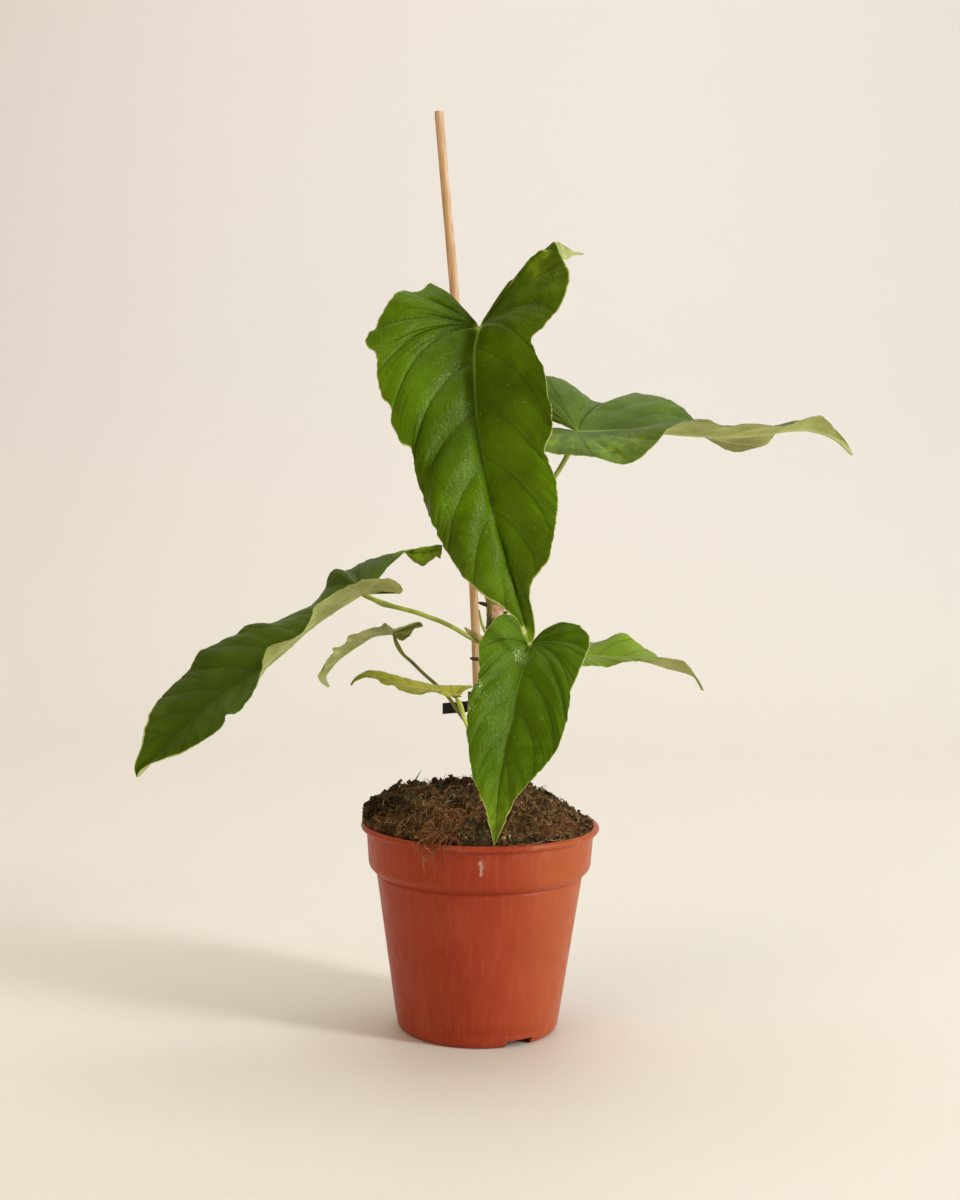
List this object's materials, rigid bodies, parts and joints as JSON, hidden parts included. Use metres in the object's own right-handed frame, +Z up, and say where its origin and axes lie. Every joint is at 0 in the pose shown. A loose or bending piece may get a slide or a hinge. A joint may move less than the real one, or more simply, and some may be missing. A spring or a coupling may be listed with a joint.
{
  "type": "potted anthurium balaoanum",
  "caption": "Climbing anthurium with long heart-shaped leaves on slender stalks, tied to a thin wooden stake, in a round terracotta-coloured plastic nursery pot filled with mossy soil.",
  "frame": {"origin": "centre of the flat underside of the pot, on the surface it stands on", "axes": "+Z up along the pot's axis, -Y towards the front of the plant, +X to the right seen from the front"},
  "size_m": [0.3573, 0.1495, 0.4613],
  "materials": {
    "pot_plastic": "semi-matte moulded plastic, dusty",
    "soil": "rough, crumbly, with moss and coir fibres",
    "stake_wood": "bare unfinished dowel",
    "tie_plastic": "satin",
    "stem": "matte green with brown papery sheaths",
    "leaf": "satin leaf surface with pale veins, paler underside",
    "young_leaf": "satin, yellow-green"
  },
  "bodies": {
    "root": {"pot": "pot_plastic", "soil": "soil", "stake": "stake_wood", "tie": "tie_plastic", "stem": "stem", "leaf_front_large": "leaf", "leaf_back_right": "leaf", "leaf_left_large": "leaf", "leaf_back_left_small": "leaf", "leaf_young": "young_leaf", "leaf_front_heart": "leaf", "leaf_right_small": "leaf"}
  },
  "joints": []
}
